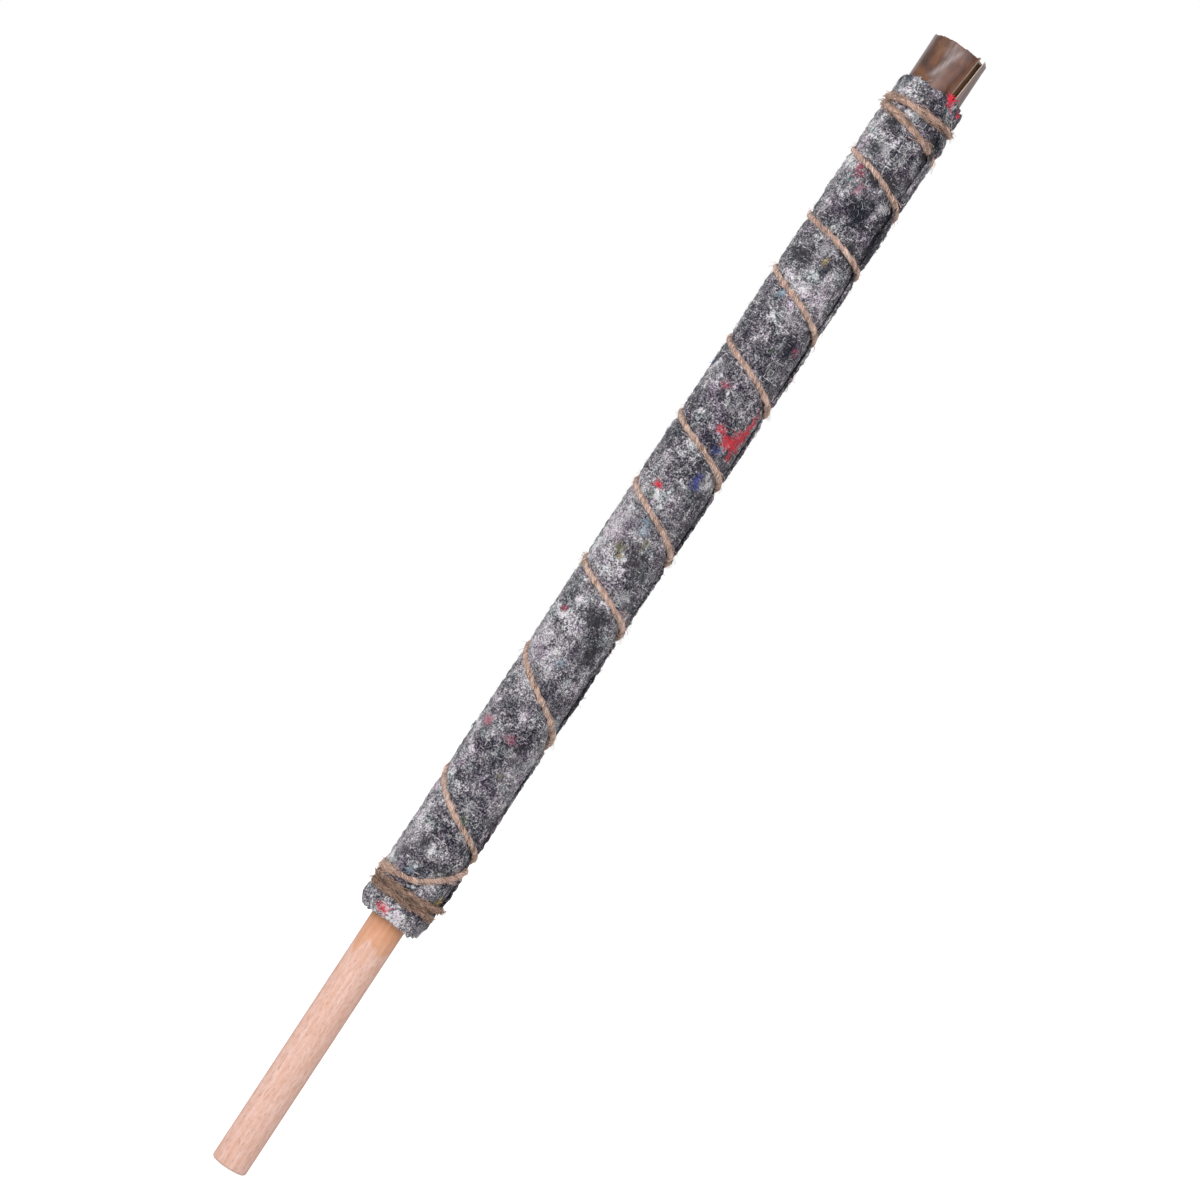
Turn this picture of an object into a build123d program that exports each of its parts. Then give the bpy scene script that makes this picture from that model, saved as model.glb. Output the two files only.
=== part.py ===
from build123d import *
import math
import os

# Hand torch: a beech stick whose upper part carries a roll of waxed brown paper,
# a thin waxed sheet round the roll, a recycled-fibre felt wound over both, and
# one length of jute twine that binds the felt.
# Millimetres. Origin at the centre of the stick's lower end, +Z along the stick
# towards the end that burns. The front, where the felt's free edge is just out
# of sight round the right side, faces -Y.

# --- driving dimensions -----------------------------------------------------
stick_radius = 10.0          # standard 20 mm dowel
handle_length = 149.0        # bare stick below the felt
felt_width = 505.0           # along the stick
paper_projection = 26.0      # paper standing out above the felt
stick_recess = 5.0           # stick's top end below the paper's rim
roll_recess = 1.0            # brown roll's rim below the outer sheet's rim
paper_start = 11.0           # lower end of the paper above the felt's lower edge
end_chamfer = 0.6            # broken edge at both ends of the stick

# --- wound layers -----------------------------------------------------------
wound_clearance = 0.1        # between the stick, roll, sheet and felt
roll_ply = 1.0               # one turn of the brown roll
roll_ply_gap = 0.25
roll_half_turns = 6
sheet_ply = 0.5              # outer waxed sheet, a single turn
sheet_slit_angle = 12.0      # part of the turn that the outer sheet leaves open
sheet_slit_centre = -41.0    # degrees from +X
felt_ply = 1.5
felt_ply_gap = 0.1
felt_half_turns = 3
felt_edge_angle = -20.0      # free edge of the felt, degrees from +X
roll_edge_angle = -70.0      # free edge of the brown roll, under the sheet

# --- twine ------------------------------------------------------------------
twine_diameter = 3.0
twine_sink = 1.1             # depth that the twine presses into the felt
groove_clearance = 0.1       # round the twine in its groove
twine_pass_gap = 0.5         # between two passes laid side by side
points_per_quarter = 3
edge_lead = 15.0             # degrees by which the twine climbs before the felt's edge
wound_width = 505.0          # felt width that the winding heights below belong to

# Heights of the twine's centre above the felt's lower edge, as the winding goes
# down: one row for each turn, at the left, front, right and back of the torch.
twine_pass = twine_diameter + twine_pass_gap
tie_height = 18.0
winding_heights = [
    (491.5, 491.0, 491.5, 491.0),
    (491.5 - twine_pass, 481.0, 474.0, 466.5),
    (459.0, 452.0, 440.5, 429.5),
    (418.5, 413.0, 405.0, 396.0),
    (387.0, 377.0, 365.0, 354.5),
    (344.0, 333.5, 321.5, 310.0),
    (298.5, 288.5, 276.5, 267.0),
    (257.5, 245.5, 231.0, 220.5),
    (210.0, 199.5, 187.0, 172.0),
    (156.5, 139.0, 121.5, 101.0),
    (81.0, 63.5, 50.0, 36.0),
    (tie_height + 1.1 * twine_pass, 25.5, 43.5, 31.0),
    (tie_height, tie_height, tie_height + 0.5, tie_height),
    (tie_height - 1.1 * twine_pass, tie_height - 1.2 * twine_pass, tie_height - 1.2 * twine_pass),
]

# --- sizes worked out from those above --------------------------------------
felt_top = handle_length + felt_width
paper_bottom = handle_length + paper_start
sheet_top = felt_top + paper_projection
roll_top = sheet_top - roll_recess
stick_top = sheet_top - stick_recess
roll_pitch = roll_ply + roll_ply_gap
felt_pitch = felt_ply + felt_ply_gap
roll_bore = stick_radius + wound_clearance
roll_outer = roll_bore + roll_half_turns * roll_pitch / 2 + roll_ply
sheet_bore = roll_outer + wound_clearance
sheet_outer = sheet_bore + sheet_ply
felt_bore = sheet_outer + wound_clearance
felt_outer = felt_bore + felt_half_turns * felt_pitch / 2 + felt_ply


def polar(radius, angle):
    """A point at this distance from the axis and this angle from +X, in degrees."""
    turned = math.radians(angle)
    return (radius * math.cos(turned), radius * math.sin(turned))


def wound_section(bore, ply, pitch, half_turns, edge_angle):
    """Section of a sheet wound inwards, counterclockwise, from its free edge.

    Each half turn is an arc. The arcs' centres change sides of the axis, so each
    arc runs on smoothly into the next one.
    """
    inner_radii = [bore + pitch / 4 + k * pitch / 2 for k in range(half_turns)]
    with BuildLine() as outline:
        for k, inner_radius in enumerate(reversed(inner_radii)):
            centre = polar(pitch / 4, edge_angle + 180 * k)
            start = edge_angle + 180 * k
            CenterArc(centre, inner_radius, start, 180)
            CenterArc(centre, inner_radius + ply, start, 180)
        edge_inner = inner_radii[-1] + pitch / 4
        end_angle = edge_angle + 180 * half_turns
        Line(polar(edge_inner, edge_angle), polar(edge_inner + ply, edge_angle))
        Line(polar(bore, end_angle), polar(bore + ply, end_angle))
    return outline.edges()


def felt_surface(angle):
    """Distance of the felt's outer surface from the axis at this angle."""
    turned_in = (angle - felt_edge_angle) % 360
    return felt_outer - felt_pitch * turned_in / 360


# --- twine's route ----------------------------------------------------------
step = 90 / points_per_quarter
quarter_heights = [height for turn in winding_heights for height in turn]
width_share = felt_width / wound_width
twine_points = []
for quarter, (upper, lower) in enumerate(zip(quarter_heights, quarter_heights[1:])):
    for k in range(points_per_quarter):
        angle = 180 + 90 * quarter + step * k
        height = upper + (lower - upper) * k / points_per_quarter
        path_radius = felt_surface(angle + edge_lead) + twine_diameter / 2 - twine_sink
        corner = polar(path_radius / math.cos(math.radians(step / 2)), angle)
        twine_points.append(Vector(*corner, handle_length + height * width_share))

# Every arc takes 0.45 of the shorter of its two runs.
arc_share = 0.45
twine_radii = []
for before, corner, after in zip(twine_points, twine_points[1:], twine_points[2:]):
    half_turn = math.radians((corner - before).get_angle(after - corner)) / 2
    shorter = min((corner - before).length, (after - corner).length)
    twine_radii.append(arc_share * shorter / math.tan(half_turn))

with BuildLine() as twine_route:
    FilletPolyline(*twine_points, radius=twine_radii)
twine_start = Plane(origin=twine_route.line @ 0, z_dir=twine_route.line % 0)
twine_path = twine_route.wire()

# The groove is cut one turn at a time: each corner of the route is a run and an arc.
turn_edges = 2 * 4 * points_per_quarter
path_edges = twine_path.order_edges()
groove_stretches = [
    Wire(path_edges[first:first + turn_edges])
    for first in range(0, len(path_edges), turn_edges)
]

# --- handle stick -----------------------------------------------------------
with BuildPart() as handle_stick:
    with BuildSketch():
        Circle(stick_radius)
    extrude(amount=stick_top)
    ends = handle_stick.edges().filter_by(GeomType.CIRCLE)
    chamfer(ends, length=end_chamfer)

# --- inner roll of waxed brown paper ----------------------------------------
roll_section = wound_section(
    roll_bore, roll_ply, roll_pitch, roll_half_turns, roll_edge_angle
)
with BuildPart() as inner_paper_roll:
    with BuildSketch(Plane.XY.offset(paper_bottom)):
        make_face(roll_section)
    extrude(amount=roll_top - paper_bottom)

# --- outer waxed sheet, open along one side ---------------------------------
with BuildPart() as outer_paper_sheet:
    slit_start = sheet_slit_centre - sheet_slit_angle / 2
    slit_end = sheet_slit_centre + sheet_slit_angle / 2
    with BuildSketch(Plane.XY.offset(paper_bottom)):
        with BuildLine():
            CenterArc((0, 0), sheet_bore, slit_end, 360 - sheet_slit_angle)
            CenterArc((0, 0), sheet_outer, slit_end, 360 - sheet_slit_angle)
            Line(polar(sheet_bore, slit_start), polar(sheet_outer, slit_start))
            Line(polar(sheet_bore, slit_end), polar(sheet_outer, slit_end))
        make_face()
    extrude(amount=sheet_top - paper_bottom)

# --- felt, wound one and a half times and grooved where the twine presses ----
felt_section = wound_section(
    felt_bore, felt_ply, felt_pitch, felt_half_turns, felt_edge_angle
)
with BuildPart() as felt_wrap:
    with BuildSketch(Plane.XY.offset(handle_length)):
        make_face(felt_section)
    extrude(amount=felt_width)
    for stretch in groove_stretches:
        with BuildSketch(Plane(origin=stretch @ 0, z_dir=stretch % 0)):
            Circle(twine_diameter / 2 + groove_clearance)
        sweep(path=stretch, mode=Mode.SUBTRACT)

# --- twine ------------------------------------------------------------------
with BuildPart() as jute_twine:
    with BuildSketch(twine_start):
        Circle(twine_diameter / 2)
    sweep(path=twine_path)

handle_stick.part.label = "handle_stick"
inner_paper_roll.part.label = "inner_paper_roll"
outer_paper_sheet.part.label = "outer_paper_sheet"
felt_wrap.part.label = "felt_wrap"
jute_twine.part.label = "jute_twine"

# --- check of the twine's sweep ---------------------------------------------
swept = math.pi * (twine_diameter / 2) ** 2 * twine_path.length
print(f"twine length {twine_path.length:.0f} mm, arcs {min(twine_radii):.1f}"
      f" to {max(twine_radii):.1f} mm, volume {jute_twine.part.volume / swept:.4f} of swept")

os.makedirs("parts", exist_ok=True)
export_step(handle_stick.part, "parts/handle_stick.step")
export_step(inner_paper_roll.part, "parts/inner_paper_roll.step")
export_step(outer_paper_sheet.part, "parts/outer_paper_sheet.step")
export_step(felt_wrap.part, "parts/felt_wrap.step")
export_step(jute_twine.part, "parts/jute_twine.step")
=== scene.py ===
import bpy
import bmesh
import math
import numpy as np
from mathutils import Matrix, Vector


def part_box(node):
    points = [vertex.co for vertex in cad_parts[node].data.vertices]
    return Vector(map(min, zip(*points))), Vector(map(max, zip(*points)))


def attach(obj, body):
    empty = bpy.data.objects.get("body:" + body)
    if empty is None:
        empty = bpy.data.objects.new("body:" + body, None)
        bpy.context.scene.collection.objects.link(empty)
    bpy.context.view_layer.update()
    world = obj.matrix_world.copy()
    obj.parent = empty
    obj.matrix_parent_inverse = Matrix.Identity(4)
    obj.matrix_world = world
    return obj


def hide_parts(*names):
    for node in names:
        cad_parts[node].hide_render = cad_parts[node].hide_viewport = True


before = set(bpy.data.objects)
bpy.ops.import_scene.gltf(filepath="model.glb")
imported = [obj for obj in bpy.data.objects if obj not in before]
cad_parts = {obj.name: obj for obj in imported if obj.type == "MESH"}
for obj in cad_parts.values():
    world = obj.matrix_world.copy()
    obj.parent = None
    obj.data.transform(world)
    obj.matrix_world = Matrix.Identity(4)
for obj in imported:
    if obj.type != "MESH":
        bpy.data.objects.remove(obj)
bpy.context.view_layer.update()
mm = 0.001
fullTurn = 2 * math.pi
print("frame loaded:", ", ".join(sorted(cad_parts)))

# camera: level with the torch's middle, rolled so that the torch leans right
cameraSet = {"distance": 1.765, "aimHeight": 0.3448, "lens": 103.8, "sensor": 36.0, "roll": 33.3}


def newObject(name, data):
    made = bpy.data.objects.new(name, data)
    bpy.context.scene.collection.objects.link(made)
    return made


def makeCamera():
    roll = math.radians(cameraSet["roll"])
    right = Vector((math.cos(roll), 0, math.sin(roll)))
    up = Vector((-math.sin(roll), 0, math.cos(roll)))
    back = Vector((0, -1, 0))
    data = bpy.data.cameras.new("torchCamera")
    data.lens = cameraSet["lens"]
    data.sensor_width = cameraSet["sensor"]
    data.clip_end = 100
    camera = newObject("torchCamera", data)
    place = Vector((0, -cameraSet["distance"], cameraSet["aimHeight"]))
    camera.matrix_world = Matrix.Translation(place) @ Matrix((right, up, back)).transposed().to_4x4()
    bpy.context.scene.camera = camera


makeCamera()


# helpers for node trees

def fillInputs(tree, node, values):
    for key, value in values.items():
        if isinstance(value, bpy.types.NodeSocket):
            tree.links.new(value, node.inputs[key])
        else:
            node.inputs[key].default_value = value


def addNode(tree, kind, inputs=None, **settings):
    node = tree.nodes.new(kind)
    for key, value in settings.items():
        setattr(node, key, value)
    fillInputs(tree, node, inputs or {})
    return node


def firstOf(tree, kind, inputs=None, **settings):
    return addNode(tree, kind, inputs, **settings).outputs[0]


def calc(tree, operation, first, second=0.0):
    return firstOf(tree, "ShaderNodeMath", {0: first, 1: second}, operation=operation)


def plus(tree, first, second):
    return calc(tree, "ADD", first, second)


def minus(tree, first, second):
    return calc(tree, "SUBTRACT", first, second)


def times(tree, first, second):
    return calc(tree, "MULTIPLY", first, second)


def over(tree, first, second):
    return calc(tree, "DIVIDE", first, second)


def swing(tree, value, middle, amount):
    # how far a value lies from its middle, times an amount
    return calc(tree, "MULTIPLY", calc(tree, "SUBTRACT", value, middle), amount)


def splitXYZ(tree, vector):
    return addNode(tree, "ShaderNodeSeparateXYZ", {0: vector}).outputs


def joinXYZ(tree, parts):
    return firstOf(tree, "ShaderNodeCombineXYZ", parts)


def objectPlace(tree):
    return addNode(tree, "ShaderNodeTexCoord").outputs["Object"]


def positionOf(tree):
    return firstOf(tree, "GeometryNodeInputPosition")


def layerValue(tree, name):
    return addNode(tree, "ShaderNodeAttribute", attribute_name=name).outputs["Fac"]


def readLayer(tree, name, kind="FLOAT"):
    return firstOf(tree, "GeometryNodeInputNamedAttribute", {"Name": name}, data_type=kind)


def storeLayer(tree, geometry, name, value, kind="FLOAT", domain="POINT"):
    inputs = {"Geometry": geometry, "Name": name, "Value": value}
    return firstOf(tree, "GeometryNodeStoreNamedAttribute", inputs, data_type=kind, domain=domain)


def randomValue(tree, low, high, seed):
    return addNode(tree, "FunctionNodeRandomValue", {2: low, 3: high, "Seed": seed},
            data_type="FLOAT").outputs[1]


def circleOf(tree, sides, radius):
    inputs = {"Resolution": sides, "Radius": radius}
    return firstOf(tree, "GeometryNodeCurvePrimitiveCircle", inputs, mode="RADIUS")


def tubeOf(tree, line, ring):
    inputs = {"Curve": line, "Profile Curve": ring, "Fill Caps": True}
    return firstOf(tree, "GeometryNodeCurveToMesh", inputs)


def bumpOf(tree, strength, distance, height):
    inputs = {"Strength": strength, "Distance": distance, "Height": height}
    return firstOf(tree, "ShaderNodeBump", inputs)


def vecCalc(tree, operation, first, second=(0, 0, 0), scale=1.0):
    inputs = {0: first, 1: second}
    if operation == "SCALE":
        inputs = {0: first, 3: scale}
    node = addNode(tree, "ShaderNodeVectorMath", inputs, operation=operation)
    return node.outputs[1 if operation in ("LENGTH", "DISTANCE", "DOT_PRODUCT") else 0]


def mapRange(tree, value, fromMin, fromMax, toMin=0.0, toMax=1.0, smooth=False):
    inputs = {0: value, 1: fromMin, 2: fromMax, 3: toMin, 4: toMax}
    kind = "SMOOTHSTEP" if smooth else "LINEAR"
    return firstOf(tree, "ShaderNodeMapRange", inputs, interpolation_type=kind)


def noise(tree, vector, size, detail=2.0, rough=0.5, distort=0.0):
    # size is the width of one blob, in the units of the vector
    inputs = {"Vector": vector, "Scale": 1 / size, "Detail": detail, "Roughness": rough,
            "Distortion": distort}
    return firstOf(tree, "ShaderNodeTexNoise", inputs)


def mixColour(tree, factor, first, second, blend="MIX"):
    inputs = {0: factor, 6: first, 7: second}
    return addNode(tree, "ShaderNodeMix", inputs, data_type="RGBA", blend_type=blend).outputs[2]


def colourRamp(tree, factor, stops):
    node = addNode(tree, "ShaderNodeValToRGB", {0: factor})
    marks = node.color_ramp.elements
    while len(marks) < len(stops):
        marks.new(0.5)
    for mark, (place, colour) in zip(marks, stops):
        mark.position = place
        mark.color = (*colour, 1)
    return node.outputs[0]


def newTree(name, kind, inputs, outputs):
    tree = bpy.data.node_groups.new(name, kind)
    for label, socket, value in inputs:
        made = tree.interface.new_socket(label, in_out="INPUT", socket_type="NodeSocket" + socket)
        if value is not None:
            made.default_value = value
    for label, socket in outputs:
        tree.interface.new_socket(label, in_out="OUTPUT", socket_type="NodeSocket" + socket)
    return tree, tree.nodes.new("NodeGroupInput").outputs, tree.nodes.new("NodeGroupOutput").inputs


def geometryTree(name, defaults):
    # geometry and material sockets round the tree's own ones, whose kinds follow from their values
    kinds = {float: "Float", int: "Int", type(None): "Object"}
    own = [(label, kinds[type(value)], value) for label, value in defaults.items()]
    sockets = [("Geometry", "Geometry", None), *own, ("Material", "Material", None)]
    return newTree(name, "GeometryNodeTree", sockets, [("Geometry", "Geometry")])


def endTree(tree, given, result, geometry):
    real = firstOf(tree, "GeometryNodeRealizeInstances", {0: geometry})
    painted = addNode(tree, "GeometryNodeSetMaterial", {0: real, "Material": given["Material"]})
    tree.links.new(painted.outputs[0], result[0])
    return tree


def newMaterial(name):
    material = bpy.data.materials.new(name)
    material.use_nodes = True
    tree = material.node_tree
    return material, tree, tree.nodes["Principled BSDF"]


def useGroup(tree, group, inputs):
    return addNode(tree, "ShaderNodeGroup", inputs, node_tree=group).outputs


def meshOf(source):
    graph = bpy.context.evaluated_depsgraph_get()
    return bpy.data.meshes.new_from_object(source.evaluated_get(graph))


def bakeTree(source, tree, values, name):
    # runs a geometry tree on an object and keeps the result as a plain mesh
    modifier = source.modifiers.new("build", "NODES")
    modifier.node_group = tree
    for item in tree.interface.items_tree:
        if item.item_type == "SOCKET" and item.in_out == "INPUT" and item.name in values:
            modifier[item.identifier] = values[item.name]
    graph = bpy.context.evaluated_depsgraph_get()
    mesh = bpy.data.meshes.new_from_object(source.evaluated_get(graph), preserve_all_data_layers=True,
            depsgraph=graph)
    mesh.name = name
    source.modifiers.remove(modifier)
    piece = newObject(name, mesh)
    return piece


def finishPiece(piece, nodes=()):
    piece.data.shade_smooth()
    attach(piece, "root")
    if nodes:
        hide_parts(*nodes)
    print("made", piece.name, len(piece.data.polygons), "faces")
    return piece


def dropObject(unwanted):
    bpy.data.objects.remove(unwanted)


# values kept on a mesh's vertices

def coordsOf(mesh):
    flat = np.zeros(len(mesh.vertices) * 3)
    mesh.vertices.foreach_get("co", flat)
    return flat.reshape(-1, 3)


def turnedOf(mesh):
    turned = np.zeros(len(mesh.vertices), np.float32)
    mesh.attributes["turnedIn"].data.foreach_get("value", turned)
    return turned


def writeLayer(mesh, name, values):
    layer = mesh.attributes.new(name, "FLOAT", "POINT")
    layer.data.foreach_set("value", values.astype(np.float32))


# smooth random values for shapes, the same each run
def softNoise(x, y, seed):
    x, y = np.broadcast_arrays(np.asarray(x, float), np.asarray(y, float))
    table = np.random.default_rng(seed).random((256, 256)) * 2 - 1
    column, row = np.floor(x).astype(int), np.floor(y).astype(int)
    u, v = x - column, y - row
    u, v = u * u * (3 - 2 * u), v * v * (3 - 2 * v)

    def at(i, j):
        return table[i % 256, j % 256]

    low = at(column, row) * (1 - u) + at(column + 1, row) * u
    high = at(column, row + 1) * (1 - u) + at(column + 1, row + 1) * u
    return low * (1 - v) + high * v


# shader groups that several finishes use

def makeMottleGroup():
    # blotches, grains and a height, from three sizes of noise
    sockets = [("Vector", "Vector", None), ("Blotch Size", "Float", 0.014), ("Grain Size", "Float", 0.0012)]
    outs = [("Blotches", "Float"), ("Grains", "Float"), ("Height", "Float")]
    group, given, result = newTree("mottle", "ShaderNodeTree", sockets, outs)
    blotchScale = over(group, 1.0, given["Blotch Size"])
    grainScale = over(group, 1.0, given["Grain Size"])
    kind = "ShaderNodeTexNoise"
    common = {"Vector": given["Vector"], "Detail": 3.0, "Roughness": 0.6}
    blotch = firstOf(group, kind, {**common, "Scale": blotchScale, "Distortion": 0.6})
    middle = firstOf(group, kind, {**common, "Scale": times(group, grainScale, 0.28)})
    grain = firstOf(group, kind, {**common, "Scale": grainScale})
    blended = plus(group, times(group, blotch, 0.62), times(group, middle, 0.38))
    group.links.new(mapRange(group, blended, 0.36, 0.64), result["Blotches"])
    group.links.new(mapRange(group, grain, 0.32, 0.68), result["Grains"])
    group.links.new(plus(group, times(group, grain, 0.5), middle), result["Height"])
    return group


def makeGrainGroup():
    # long thin streaks along one axis, with short darker flecks in them
    sockets = [("Vector", "Vector", None), ("Streak Width", "Float", 0.0012),
            ("Streak Length", "Float", 0.06), ("Fleck Width", "Float", 0.0003),
            ("Fleck Length", "Float", 0.0022)]
    group, given, result = newTree("grain", "ShaderNodeTree", sockets,
            [("Streaks", "Float"), ("Flecks", "Float")])
    parts = splitXYZ(group, given["Vector"])

    def stretched(width, length):
        across = [over(group, parts[i], width) for i in (0, 1)]
        along = over(group, parts[2], length)
        return joinXYZ(group, {0: across[0], 1: across[1], 2: along})

    streaks = noise(group, stretched(given["Streak Width"], given["Streak Length"]), 1.0, 3.0, 0.55, 0.3)
    flecks = noise(group, stretched(given["Fleck Width"], given["Fleck Length"]), 1.0, 1.0, 0.5)
    group.links.new(mapRange(group, streaks, 0.3, 0.7), result["Streaks"])
    group.links.new(mapRange(group, flecks, 0.58, 0.7), result["Flecks"])
    return group


mottle = makeMottleGroup()
grain = makeGrainGroup()

# twine: winding heights above the felt's lower edge, at the left, front, right and back of each turn
twineSet = {
    "diameter": 3.0 * mm, "passGap": 0.5 * mm, "sink": 2.15 * mm, "edgeLead": 15.0, "cornersPerQuarter": 3,
    "plyRadius": 1.16 * mm, "plyOffset": 0.58 * mm, "layLength": 14.0 * mm, "step": 1.2 * mm,
}
twinePass = twineSet["diameter"] / mm + twineSet["passGap"] / mm
tieHeight = 18.0
windingHeights = [
    (491.5, 491.0, 491.5, 491.0),
    (491.5 - twinePass, 481.0, 474.0, 466.5),
    (459.0, 452.0, 440.5, 429.5),
    (418.5, 413.0, 405.0, 396.0),
    (387.0, 377.0, 365.0, 354.5),
    (344.0, 333.5, 321.5, 310.0),
    (298.5, 288.5, 276.5, 267.0),
    (257.5, 245.5, 231.0, 220.5),
    (210.0, 199.5, 187.0, 172.0),
    (156.5, 139.0, 121.5, 101.0),
    (81.0, 63.5, 50.0, 36.0),
    (tieHeight + 1.1 * twinePass, 25.5, 43.5, 31.0),
    (tieHeight, tieHeight, tieHeight + 0.5, tieHeight),
    (tieHeight - 1.1 * twinePass, tieHeight - 1.2 * twinePass, tieHeight - 1.2 * twinePass),
]

# felt: its place comes from the CAD boxes, its thickness and winding from the cloth
feltSet = {
    "ply": 1.5 * mm, "pitch": 1.6 * mm, "turns": 1.5, "edgeAngle": -20.0, "clearance": 0.1 * mm,
    "columnStep": 0.92 * mm, "rowStep": 0.95 * mm, "coarseStep": 7.0 * mm,
    "pinch": 0.56, "pinchWidth": 3.2 * mm, "bulge": 0.12,
    "lumpSize": 24 * mm, "lumpHeight": 1.3 * mm, "pebbleSize": 3.2 * mm, "pebbleHeight": 0.85 * mm,
    "rowSpacing": 5.1 * mm, "rowDepth": 0.3 * mm,
}
feltLow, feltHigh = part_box("felt_wrap")
sheetLow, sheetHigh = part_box("outer_paper_sheet")
rollLow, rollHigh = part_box("inner_paper_roll")
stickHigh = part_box("handle_stick")[1]
sheetOuter = (sheetHigh.y - sheetLow.y) / 2
feltBore = sheetOuter + feltSet["clearance"]
feltOuter = feltBore + feltSet["turns"] * feltSet["pitch"] + feltSet["ply"]


def feltSurface(angle):
    turnedIn = (angle - feltSet["edgeAngle"]) % 360
    return feltOuter - feltSet["pitch"] * turnedIn / 360


def twineCorners():
    step = 90 / twineSet["cornersPerQuarter"]
    heights = [height for turn in windingHeights for height in turn]
    corners = []
    for quarter, (upper, lower) in enumerate(zip(heights, heights[1:])):
        for k in range(twineSet["cornersPerQuarter"]):
            angle = 180 + 90 * quarter + step * k
            height = feltLow.z + (upper + (lower - upper) * k / twineSet["cornersPerQuarter"]) * mm
            radius = feltSurface(angle + twineSet["edgeLead"]) + twineSet["diameter"] / 2 - twineSet["sink"]
            radius /= math.cos(math.radians(step / 2))
            turned = math.radians(angle)
            corners.append((radius * math.cos(turned), radius * math.sin(turned), height))
    return corners


def makeTwineLine():
    corners = twineCorners()
    curve = bpy.data.curves.new("twineLine", "CURVE")
    curve.dimensions = "3D"
    curve.resolution_u = 6
    spline = curve.splines.new("NURBS")
    spline.points.add(len(corners) - 1)
    for point, corner in zip(spline.points, corners):
        point.co = (*corner, 1)
    spline.order_u = 3
    spline.use_endpoint_u = True
    line = newObject("twineLine", curve)
    return line


def pointsOfLine(line):
    mesh = meshOf(line)
    points = [tuple(v.co) for v in mesh.vertices]
    bpy.data.meshes.remove(mesh)
    return points


twineLine = makeTwineLine()
twinePath = pointsOfLine(twineLine)


# a sheet wound round the axis: outer face, rounded rims, inner face and both ends, all closed
def woundSheet(name, edgeRadius, pitch, ply, angles, rows, innerEvery, edgeAngle, shape=None):
    rimSteps = [(0.25, 0.7), (0.75, 0.7)]  # share of the ply inwards, share of the ply beyond the rim
    rim = 0.5 * ply
    bottom, top = rows[0], rows[-1]
    profile = [(0.0, z) for z in rows]
    profile += [(depth, top + out * rim) for depth, out in rimSteps]
    innerRows = list(range(len(rows) - 1, 0, -innerEvery)) + [0]
    profile += [(1.0, rows[i]) for i in innerRows]
    profile += [(depth, bottom - out * rim) for depth, out in reversed(rimSteps)]
    depth = np.array([p[0] for p in profile])[None, :]
    height = np.array([p[1] for p in profile])[None, :]
    turned = angles[:, None]
    radius = edgeRadius - pitch * turned / 360 - ply * depth
    angle = edgeAngle + turned + 0 * height
    height = height + 0 * turned
    if shape:
        radius, angle, height = shape(radius, angle, height, turned, depth)
    spin = np.radians(angle)
    points = np.stack([radius * np.cos(spin), radius * np.sin(spin), height], -1)
    columns, loop = turned.shape[0], len(profile)
    faces = []
    for c in range(columns - 1):
        for r in range(loop):
            s = (r + 1) % loop
            faces.append((c * loop + r, (c + 1) * loop + r, (c + 1) * loop + s, c * loop + s))
    firstInner = len(rows) + len(rimSteps)
    for column in (0, columns - 1):
        base = column * loop
        for j in range(len(innerRows) - 1):
            outer = list(range(innerRows[j + 1], innerRows[j] + 1))
            faces.append([base + r for r in outer] + [base + firstInner + j, base + firstInner + j + 1])
        faces.append([base + r for r in range(len(rows) - 1, firstInner + 1)])
        faces.append([base + r for r in range(firstInner + len(innerRows) - 1, loop)] + [base])
    mesh = bpy.data.meshes.new(name)
    mesh.from_pydata(points.reshape(-1, 3).tolist(), [], faces)
    clean = bmesh.new()
    clean.from_mesh(mesh)
    bmesh.ops.recalc_face_normals(clean, faces=clean.faces)
    clean.to_mesh(mesh)
    clean.free()
    steps = np.radians(np.diff(angles)) * (edgeRadius - pitch * angles[1:] / 360)
    arc = np.concatenate([[0], np.cumsum(steps)])
    layout = np.stack([np.repeat(arc, loop), np.tile([p[1] for p in profile], columns)], -1)
    uvMap = mesh.uv_layers.new(name="UVMap")
    corners = np.zeros(len(mesh.loops), int)
    mesh.loops.foreach_get("vertex_index", corners)
    uvMap.data.foreach_set("uv", layout[corners].astype(np.float32).ravel())
    writeLayer(mesh, "facing", 1 - np.tile(np.minimum(depth[0] * 4, 1), columns))  # 1 on the outer face
    writeLayer(mesh, "turnedIn", np.repeat(angles, loop))  # degrees wound in from the free edge
    piece = newObject(name, mesh)
    return piece


def markRims(piece, low, high, width, radius):
    # 1 at the sheet's cut edges, fading over width
    height, turned = coordsOf(piece.data)[:, 2], turnedOf(piece.data)
    ends = np.minimum(turned, turned.max() - turned) * math.radians(1) * radius
    close = np.minimum(ends, np.minimum(high - height, height - low))
    writeLayer(piece.data, "rim", np.clip(1 - close / width, 0, 1))


def evenAngles(fineSpan, fullSpan, fineStep, coarseStep, radius):
    fineCount = max(2, round(math.radians(fineSpan) * radius / fineStep))
    coarseCount = max(2, round(math.radians(fullSpan - fineSpan) * radius / coarseStep))
    fine = np.linspace(0, fineSpan, fineCount + 1)
    coarse = np.linspace(fineSpan, fullSpan, coarseCount + 1)
    return np.concatenate([fine, coarse[1:]])


def bump(value, centre, width):
    return np.exp(-(((value - centre) / width) ** 2))


# felt edges: degrees of slant and wander, reach in degrees or metres, lifts and tucks in mm
feltEdge = {"slant": 28, "slantBack": 48, "slantReach": 300, "wander": 2.2, "wanderReach": 40,
            "rimReach": 9 * mm, "cornerLift": 2.4, "flapLift": 1.3, "footTuck": 1.7, "footSlim": 1.0,
            "rimTuck": 0.7, "cornerDrop": 7.5 * mm, }


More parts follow.
